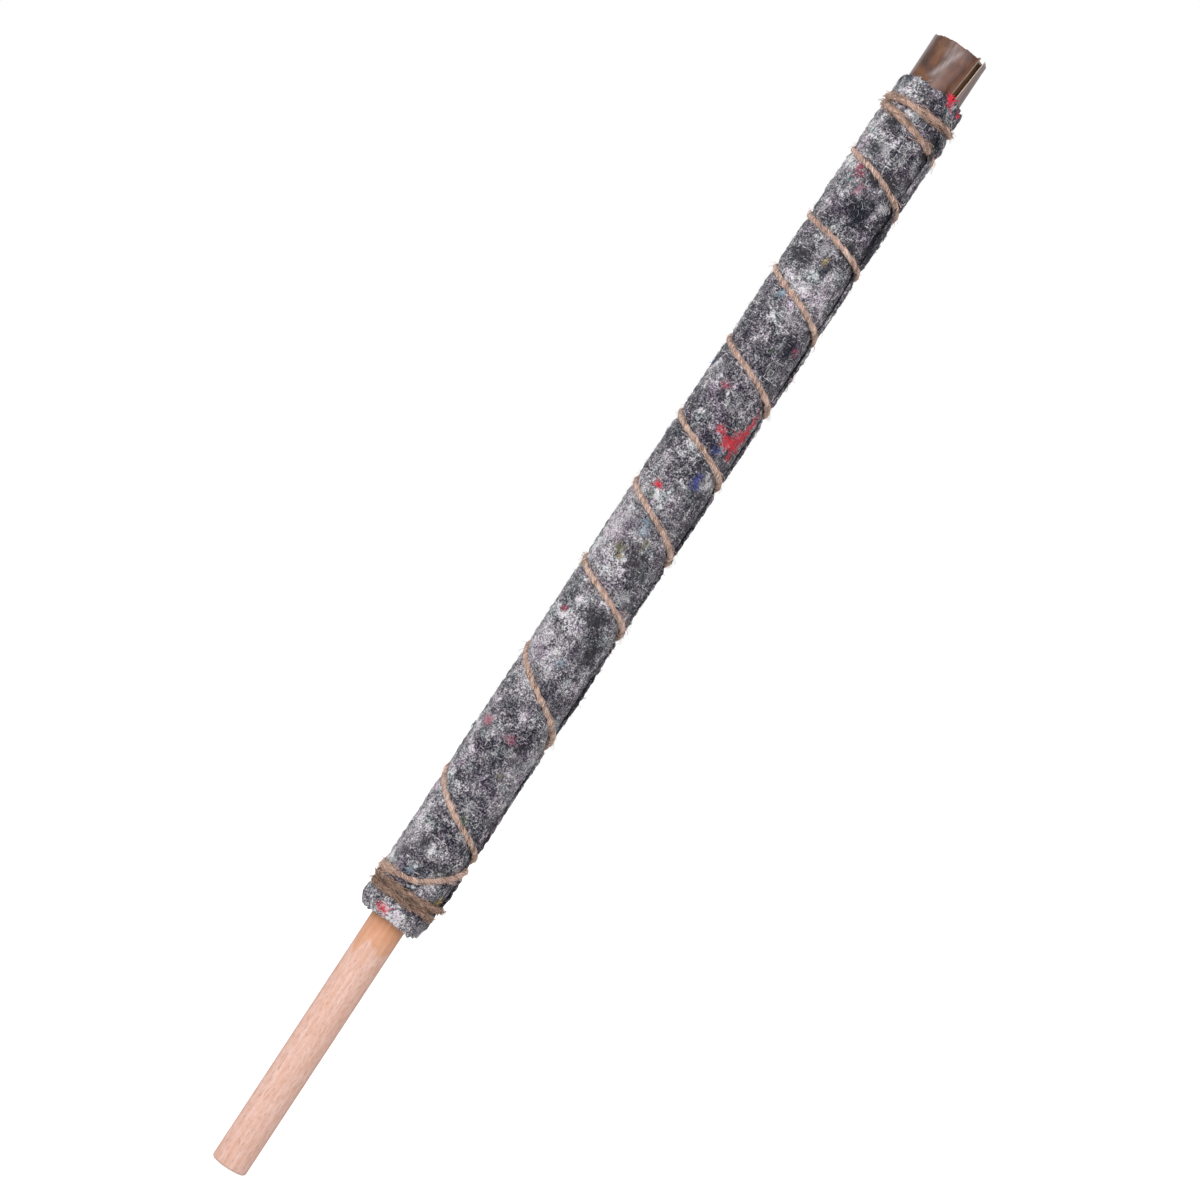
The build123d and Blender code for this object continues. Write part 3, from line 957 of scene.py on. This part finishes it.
def makeTufts():
    picker = np.random.default_rng(17)
    tufts = []
    for order, (right, height, count, colour) in enumerate(tuftSet["places"]):
        curve = bpy.data.curves.new("tuft", "CURVE")
        curve.dimensions = "3D"
        curve.bevel_depth = tuftSet["radius"]
        curve.bevel_resolution = 0
        spin = math.radians(right - 90)
        outward, across = Vector((math.cos(spin), math.sin(spin), 0)), Vector((-math.sin(spin),
                math.cos(spin), 0))
        middle = outward * (feltOuter - 2.2 * mm) + Vector((0, 0, height * mm))
        for _ in range(count):
            side, lean = picker.normal(0, 0.6), picker.normal(0, 0.35)
            reach = picker.uniform(0.4, 1.0) * tuftSet["reach"]
            rise = Vector((0, 0, reach * 0.5))
            start = middle + across * side * tuftSet["width"] + outward * picker.normal(0, 0.5) * mm
            knee = start + rise + across * lean * reach * 0.4 + outward * picker.normal(0, 0.35) * mm
            end = knee + rise + across * lean * reach - outward * 0.4 * mm
            spline = curve.splines.new("POLY")
            spline.points.add(2)
            for point, place in zip(spline.points, (start, knee, end)):
                point.co = (*place, 1)
        source = newObject("tuft", curve)
        mesh = meshOf(source)
        dropObject(source)
        mesh.materials.clear()
        mesh.materials.append(makeThreadMaterial("tuftWool" + str(order), dyes[colour]))
        tuft = newObject("felt_tuft_" + str(order), mesh)
        tufts.append(finishPiece(tuft))
    return tufts


for tuft in makeTufts():
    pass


# pale thread stitched through the felt in rows
def makeStitchTree():
    defaults = {"Bottom": 0.15, "Rows": 98, "Row Spacing": 0.0051, "Columns": 28, "Length": 0.0026,
            "Radius": 0.00016, "Keep": 0.5, "Upright": 0.0, "Seed": 1}
    tree, given, result = geometryTree("stitches", defaults)
    grid = firstOf(tree, "GeometryNodeMeshGrid", {"Size X": 1.0, "Size Y": 1.0,
            "Vertices X": given["Columns"], "Vertices Y": given["Rows"]})
    points = firstOf(tree, "GeometryNodeMeshToPoints", {0: grid})
    place = splitXYZ(tree, positionOf(tree))
    jitter = randomValue(tree, -0.5, 0.5, given["Seed"])
    jitterSeed = plus(tree, given["Seed"], 7.0)
    lean = randomValue(tree, -0.5, 0.5, jitterSeed)
    row = times(tree, plus(tree, place[1], 0.5), minus(tree, given["Rows"], 1.0))
    height = plus(tree, given["Bottom"], times(tree, row, given["Row Spacing"]))
    height = plus(tree, height, times(tree, lean, times(tree, given["Row Spacing"], 0.10)))
    spin = times(tree, plus(tree, place[0], over(tree, times(tree, jitter, 0.5), given["Columns"])),
            fullTurn)
    ring = joinXYZ(tree, {0: calc(tree, "COSINE", spin), 1: calc(tree, "SINE", spin)})
    far = vecCalc(tree, "ADD", vecCalc(tree, "SCALE", ring, scale=0.04), joinXYZ(tree, {2: height}))
    placed = firstOf(tree, "GeometryNodeSetPosition", {"Geometry": points, "Position": far})
    position = positionOf(tree)
    flat = vecCalc(tree, "MULTIPLY", position, (1, 1, 0))
    inward = vecCalc(tree, "SCALE", flat, scale=-1.0)
    hit = addNode(tree, "GeometryNodeRaycast", {"Target Geometry": given["Geometry"],
            "Ray Direction": inward, "Ray Length": 0.05})
    cloudPlace = vecCalc(tree, "MULTIPLY", position, (1, 1, 2.2))
    cloud = firstOf(tree, "ShaderNodeTexNoise", {"Vector": cloudPlace, "Scale": 38.0, "Detail": 1.0})
    chance = randomValue(tree, -0.12, 0.12, plus(tree, given["Seed"], 13.0))
    kept = calc(tree, "LESS_THAN", plus(tree, cloud, chance), mapRange(tree, given["Keep"], 0.0, 1.0, 0.3,
            0.7))
    kept = firstOf(tree, "FunctionNodeBooleanMath", {0: kept, 1: hit.outputs["Is Hit"]}, operation="AND")
    arc = firstOf(tree, "GeometryNodeCurveQuadraticBezier", {"Resolution": 5, "Start": (-0.5, 0, -0.12),
            "Middle": (0, 0, 0.17), "End": (0.5, 0, -0.12)})
    circle = circleOf(tree, 5, over(tree, given["Radius"], given["Length"]))
    stitch = tubeOf(tree, arc, circle)
    base = firstOf(tree, "FunctionNodeAlignRotationToVector", {"Vector": flat}, axis="Z")
    along = firstOf(tree, "FunctionNodeAlignRotationToVector", {"Rotation": base, "Vector": (0, 0, 1)},
            axis="Y", pivot_axis="Z")
    turn = plus(tree, times(tree, given["Upright"], math.pi / 2), times(tree, lean, 0.35))
    turned = firstOf(tree, "FunctionNodeEulerToRotation", {0: joinXYZ(tree, {2: turn})})
    rotation = firstOf(tree, "FunctionNodeRotateRotation", {0: along, 1: turned}, rotation_space="LOCAL")
    size = randomValue(tree, 0.7, 1.35, plus(tree, given["Seed"], 3.0))
    length = times(tree, size, given["Length"])
    pushed = vecCalc(tree, "SUBTRACT", hit.outputs["Hit Position"], position)
    surfaced = firstOf(tree, "GeometryNodeStoreNamedAttribute", {"Geometry": placed, "Name": "toSurface",
            "Value": pushed, "Selection": hit.outputs["Is Hit"]}, data_type="FLOAT_VECTOR",
            domain="POINT")
    surfaced = storeLayer(tree, surfaced, "kept", kept, "BOOLEAN")
    offset = readLayer(tree, "toSurface", "FLOAT_VECTOR")
    chosen = readLayer(tree, "kept", "BOOLEAN")
    surfaced = firstOf(tree, "GeometryNodeSetPosition", {"Geometry": surfaced, "Offset": offset})
    sewn = firstOf(tree, "GeometryNodeInstanceOnPoints", {"Points": surfaced, "Selection": chosen,
            "Instance": stitch, "Rotation": rotation, "Scale": length})
    return endTree(tree, given, result, sewn)


stitchTree = makeStitchTree()
threadMaterial = makeThreadMaterial("stitchThread", (0.74, 0.72, 0.72), 0.5)
stitchSet = {
    "felt_row_stitches": {"Rows": 98, "Row Spacing": feltSet["rowSpacing"], "Columns": 31, "Length": 2.9 * mm,
                          "Radius": 0.16 * mm, "Keep": 0.42, "Upright": 0.0, "Seed": 4},
    "felt_cross_stitches": {"Rows": 190, "Row Spacing": 2.62 * mm, "Columns": 24, "Length": 2.5 * mm,
                            "Radius": 0.12 * mm, "Keep": 0.24, "Upright": 1.0, "Seed": 9},
}
for name, values in stitchSet.items():
    values.update({"Bottom": feltLow.z + 4 * mm, "Material": threadMaterial})
    finishPiece(bakeTree(felt, stitchTree, values, name))


# waxed paper: thin wound roll inside, one glossy sheet with its long edges just apart outside
paperSet = {
    "rollTurns": 12, "rollPly": 0.24 * mm, "rollEdgeAngle": -70.0,
    "sheetPly": 0.28 * mm, "slitCentre": -41.0, "slitAngle": 12.0, "showFrom": 8 * mm,
    # painted highlight streaks on the front: place across, lean, half width, lower and upper end above the
    # felt, strength
    "streaks": [(-8.0, 0.40, 1.4, 3, 24, 0.70), (-4.0, 0.05, 4.5, 15, 34, 0.30),
                (6.0, -0.05, 2.2, 18, 34, 0.22), (-15.0, 0.02, 1.2, 0, 34, 0.35)],
}


def paperRows(low, high):
    # close rows where the paper shows above the felt, wide ones inside it
    hidden = np.linspace(low, feltHigh.z - paperSet["showFrom"], 24)
    shown = np.linspace(feltHigh.z - paperSet["showFrom"], high,
            round((high - feltHigh.z + paperSet["showFrom"]) / (0.8 * mm)) + 1)
    return np.concatenate([hidden, shown[1:]])


def makePaperMaterial(name, deep, amber, pale, coat, patchSize):
    material, tree, skin = newMaterial(name)
    place = objectPlace(tree)
    leaned = firstOf(tree, "ShaderNodeMapping", {"Vector": place, "Rotation": (0, math.radians(-33), 0),
            "Scale": (1.0, 1.0, 0.28)})
    veil = noise(tree, leaned, patchSize, 2.0, 0.5, 0.5)
    patches = noise(tree, vecCalc(tree, "ADD", place, (2.2, 0.4, 1.7)), 0.012, 2.0, 0.55, 0.7)
    blots = useGroup(tree, mottle, {"Vector": place, "Blotch Size": 0.005, "Grain Size": 0.0008})
    fibre = useGroup(tree, grain, {"Vector": place, "Streak Width": 0.0007, "Streak Length": 0.02,
            "Fleck Width": 0.0004, "Fleck Length": 0.006})
    tone = plus(tree, times(tree, mapRange(tree, patches, 0.36, 0.64), 0.62),
            times(tree, blots["Blotches"], 0.22))
    tone = plus(tree, tone, times(tree, fibre["Streaks"], 0.16))
    body = colourRamp(tree, tone, [(0.15, deep), (0.5, tuple((a + b) / 2 for a, b in zip(deep, amber))),
            (0.75, amber), (0.95, tuple(c * 1.35 for c in amber))])
    # painted highlight: pale diagonal bands from the leaned noise are mixed into the colour
    clear = mapRange(tree, veil, 0.46, 0.74, smooth=True)
    body = mixColour(tree, times(tree, clear, 0.42), body, (*pale, 1))
    # painted reflection: lilac grey mixed into the sheet's colour down its left side, by its free edges and
    # in the front streaks
    paintedReflection = layerValue(tree, "paintedReflection")
    streaked = times(tree, paintedReflection, mapRange(tree, fibre["Streaks"], 0.2, 0.7, 0.55, 1.0))
    body = mixColour(tree, streaked, body, (0.34, 0.275, 0.275, 1))
    rim = layerValue(tree, "rim")
    body = mixColour(tree, times(tree, rim, 0.8), body, (0.74, 0.60, 0.48, 1))
    fillInputs(tree, skin, {"Base Color": body, "Roughness": mapRange(tree, blots["Grains"], 0.0, 1.0,
            0.34, 0.52), "Coat Weight": coat, "Coat Roughness": 0.34, "Specular IOR Level": 0.3})
    height = plus(tree, times(tree, veil, 0.8), times(tree, blots["Height"], 0.22))
    fillInputs(tree, skin, {"Normal": bumpOf(tree, 0.6, 0.0012, height)})
    return material


def shapeSheet(radius, angle, height, turned, depth):
    up = np.clip((height - feltHigh.z) / (sheetHigh.z - feltHigh.z), 0, 1)
    fromFlap, fromFront = turned, turned.max() - turned
    lean = -11.0 * (1 - up)  # both free edges slant
    flapLift = 0.9 * np.exp(-fromFlap / 14) * (0.35 + 0.65 * up)
    lift = flapLift + 0.35 * np.exp(-fromFront / 9) * (0.3 + 0.7 * up)
    wrinkle = softNoise(angle / 9 + height / (9 * mm), height / (14 * mm), 31) * 0.22
    wrinkle = wrinkle + softNoise(angle / 4 - height / (6 * mm), height / (7 * mm), 32) * 0.08
    radius = radius + (lift + wrinkle * up) * mm
    crest = np.exp(-(sheetHigh.z - height) / (2.5 * mm))
    tips = 1.1 * bump(fromFlap, 1.5, 2.2) + 0.9 * bump(fromFront, 2, 2.5) + 0.7 * bump(fromFlap, 9, 2.5)
    ragged = softNoise(angle / 5, 0 * height, 33) * 0.35 + tips - 0.6
    angle = angle + lean * (np.exp(-fromFlap / 70) + np.exp(-fromFront / 50))
    return radius, angle, height + ragged * crest * mm


def shapeRoll(radius, angle, height, turned, depth):
    crest = np.exp(-(rollHigh.z - height) / (3 * mm))
    radius = radius + softNoise(angle / 40, height / (30 * mm), 41) * 0.05 * mm
    return radius, angle, height + (softNoise(angle / 25, 0 * height, 42) * 0.7 - 0.4) * crest * mm


def paleSides(sheet):
    # painted reflection of the white surround down the left side and in streaks on the front; beside the free
    # edges the thin flap is paler and also carries painted reflection
    turned, co = turnedOf(sheet.data), coordsOf(sheet.data)
    angle = (turned + paperSet["slitCentre"] + paperSet["slitAngle"] / 2) % 360
    pale = np.exp(-turned / 45) * 0.95 + bump(angle, 186,
            13) * 0.8 + np.exp(-(turned.max() - turned) / 3) * 0.5
    across, up = co[:, 0] / mm, (co[:, 2] - feltHigh.z) / mm
    front = co[:, 1] < 0
    for middle, lean, thick, low, high, strength in paperSet["streaks"]:
        reach = np.clip((up - low) / 3, 0, 1) * np.clip((high - up) / 3, 0, 1)
        pale = pale + front * bump(across, middle + lean * up, thick) * reach * strength
    writeLayer(sheet.data, "paintedReflection", np.clip(pale, 0, 1))


def makePapers():
    # each paper's third colour is its painted highlight colour
    deepBrown = makePaperMaterial("brownWaxedPaper", (0.030, 0.014, 0.008), (0.095, 0.043, 0.018),
            (0.20, 0.12, 0.08), 0.4, 0.02)
    glossy = makePaperMaterial("clearWaxedPaper", (0.034, 0.011, 0.007), (0.145, 0.053, 0.018),
            (0.22, 0.13, 0.125), 0.35, 0.012)
    rollOuter = max(rollHigh.x, -rollLow.x) - 0.1 * mm
    bore = stickHigh.x + 0.1 * mm
    pitch = (rollOuter - bore - paperSet["rollPly"]) / paperSet["rollTurns"]
    angles = np.linspace(0, 360 * paperSet["rollTurns"], 40 * paperSet["rollTurns"] + 1)
    rows = np.concatenate([np.linspace(rollLow.z, rollHigh.z - 20 * mm, 6),
            np.linspace(rollHigh.z - 16 * mm, rollHigh.z, 12)])
    roll = woundSheet("brown_paper_roll", rollOuter, pitch, paperSet["rollPly"], angles, rows, 3,
            paperSet["rollEdgeAngle"], shapeRoll)
    markRims(roll, rollLow.z, rollHigh.z, 0.5 * mm, rollOuter)
    roll.data.materials.append(deepBrown)
    start = paperSet["slitCentre"] + paperSet["slitAngle"] / 2
    span = 360 - paperSet["slitAngle"]
    angles = np.linspace(0, span, 150)
    rows = paperRows(sheetLow.z, sheetHigh.z)
    sheet = woundSheet("glossy_paper_sheet", sheetOuter, 0.0, paperSet["sheetPly"], angles, rows, 4,
            start, shapeSheet)
    markRims(sheet, sheetLow.z, sheetHigh.z, 0.45 * mm, sheetOuter)
    paleSides(sheet)
    sheet.data.materials.append(glossy)
    finishPiece(roll, ["inner_paper_roll"])
    finishPiece(sheet, ["outer_paper_sheet"])
    rollLength = math.radians(360 * paperSet["rollTurns"]) * (rollOuter - pitch * paperSet["rollTurns"] / 2)
    return roll, rollLength, sheet


paperRoll, rollLength, paperSheet = makePapers()


# beech stick: the CAD's own shape, oiled near the felt
stainSet = {"edge": 0.1350, "streakDrop": 0.009, "patchDrop": 0.003}


def makeBeech():
    material, tree, skin = newMaterial("beech")
    place = objectPlace(tree)
    parts = splitXYZ(tree, place)
    lines = useGroup(tree, grain, {"Vector": place, "Streak Width": 0.0013, "Streak Length": 0.010,
            "Fleck Width": 0.00055, "Fleck Length": 0.0032})
    soft = useGroup(tree, mottle, {"Vector": place, "Blotch Size": 0.011, "Grain Size": 0.0014})
    rings = addNode(tree, "ShaderNodeTexWave", {"Vector": firstOf(tree, "ShaderNodeMapping",
            {"Vector": place, "Scale": (1, 1, 0.035)}), "Scale": 90.0, "Distortion": 3.0, "Detail": 2.0,
            "Detail Scale": 1.5}, bands_direction="X").outputs["Fac"]
    tone = plus(tree, times(tree, lines["Streaks"], 0.45), times(tree, rings, 0.2))
    tone = plus(tree, tone, times(tree, soft["Blotches"], 0.35))
    wood = colourRamp(tree, tone, [(0.15, (0.70, 0.400, 0.290)), (0.5, (0.76, 0.480, 0.395)),
            (0.85, (0.82, 0.570, 0.500))])
    wood = mixColour(tree, times(tree, lines["Flecks"], 0.6), wood, (0.46, 0.22, 0.14, 1))
    wood = mixColour(tree, mapRange(tree, soft["Grains"], 0.35, 0.0, 0.0, 0.22), wood,
            (0.55, 0.30, 0.22, 1))
    ragged = noise(tree, firstOf(tree, "ShaderNodeMapping", {"Vector": place, "Scale": (1, 1, 0.3)}),
            0.006, 2.0, 0.5)
    streak = mapRange(tree, calc(tree, "ABSOLUTE", plus(tree, parts[0], 0.0072)), 0.0, 0.0034,
            stainSet["streakDrop"], 0.0, smooth=True)
    patch = mapRange(tree, parts[0], 0.0030, 0.0042, 0.0, stainSet["patchDrop"], smooth=True)
    patch = times(tree, patch, calc(tree, "LESS_THAN", parts[0], 0.0085))
    reach = plus(tree, parts[2], plus(tree, streak, patch))
    reach = plus(tree, reach, swing(tree, ragged, 0.5, 0.008))
    oiled = mapRange(tree, reach, stainSet["edge"] - 0.0012, stainSet["edge"] + 0.0018, smooth=True)
    darker = mapRange(tree, parts[2], stainSet["edge"], stickHigh.z * 0.22, 0.75, 1.0)
    stain = mixColour(tree, tone, (0.60, 0.250, 0.125, 1), (0.76, 0.390, 0.225, 1))
    wood = mixColour(tree, times(tree, oiled, darker), wood, stain)
    fillInputs(tree, skin, {"Base Color": wood, "Roughness": mapRange(tree, oiled, 0.0, 1.0, 0.62, 0.42)})
    fillInputs(tree, skin, {"Normal": bumpOf(tree, 0.35, 0.0002, minus(tree, lines["Streaks"],
            lines["Flecks"]))})
    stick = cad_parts["handle_stick"]
    stick.data.materials.clear()
    stick.data.materials.append(material)
    print("stick finished in beech")


makeBeech()

dropObject(twineLine)


# pale floor, white surround and soft lamps: place, size and power
lampSet = {
    "key": ((-0.75, -1.9, 0.9), 0.9, 20.0), "fill": ((0.4, -1.6, 1.4), 1.2, 7.0),
    "side": ((-1.7, -0.3, 1.5), 1.0, 6.0), "rear": ((0.5, 1.0, 2.3), 1.2, 18.0),
}
surroundSet = {"seen": 1.0, "glow": 0.50, "floorGlow": 0.75}


def makeStudio():
    world = bpy.data.worlds.new("studio")
    world.use_nodes = True
    tree = world.node_tree
    seen = addNode(tree, "ShaderNodeLightPath").outputs["Is Camera Ray"]
    strength = mapRange(tree, seen, 0.0, 1.0, surroundSet["glow"], surroundSet["seen"])
    tree.nodes["Background"].inputs[0].default_value = (1, 1, 1, 1)
    tree.links.new(strength, tree.nodes["Background"].inputs[1])
    bpy.context.scene.world = world
    bpy.context.scene.view_settings.view_transform = "Standard"
    mesh = bpy.data.meshes.new("floor")
    half, low = 6.0, -0.0005
    mesh.from_pydata([(-half, -half, low), (half, -half, low), (half, half, low), (-half, half, low)], [],
            [(0, 1, 2, 3)])
    floor = newObject("floor", mesh)
    material, tree, skin = newMaterial("paleFloor")
    fillInputs(tree, skin, {"Base Color": (0.75, 0.75, 0.75, 1), "Roughness": 0.9,
            "Specular IOR Level": 0.0, "Emission Color": (1, 1, 1, 1)})
    seen = addNode(tree, "ShaderNodeLightPath").outputs["Is Camera Ray"]
    glow = times(tree, seen, surroundSet["floorGlow"])
    fillInputs(tree, skin, {"Emission Strength": glow})
    mesh.materials.append(material)
    aim = Vector((0, 0, cameraSet["aimHeight"]))
    for name, (place, size, power) in lampSet.items():
        lamp = bpy.data.lights.new(name, "AREA")
        lamp.size = size
        lamp.energy = power
        lampObject = newObject(name, lamp)
        lampObject.location = place
        lampObject.rotation_euler = (aim - Vector(place)).to_track_quat("-Z", "Y").to_euler()


makeStudio()

print("finishing")
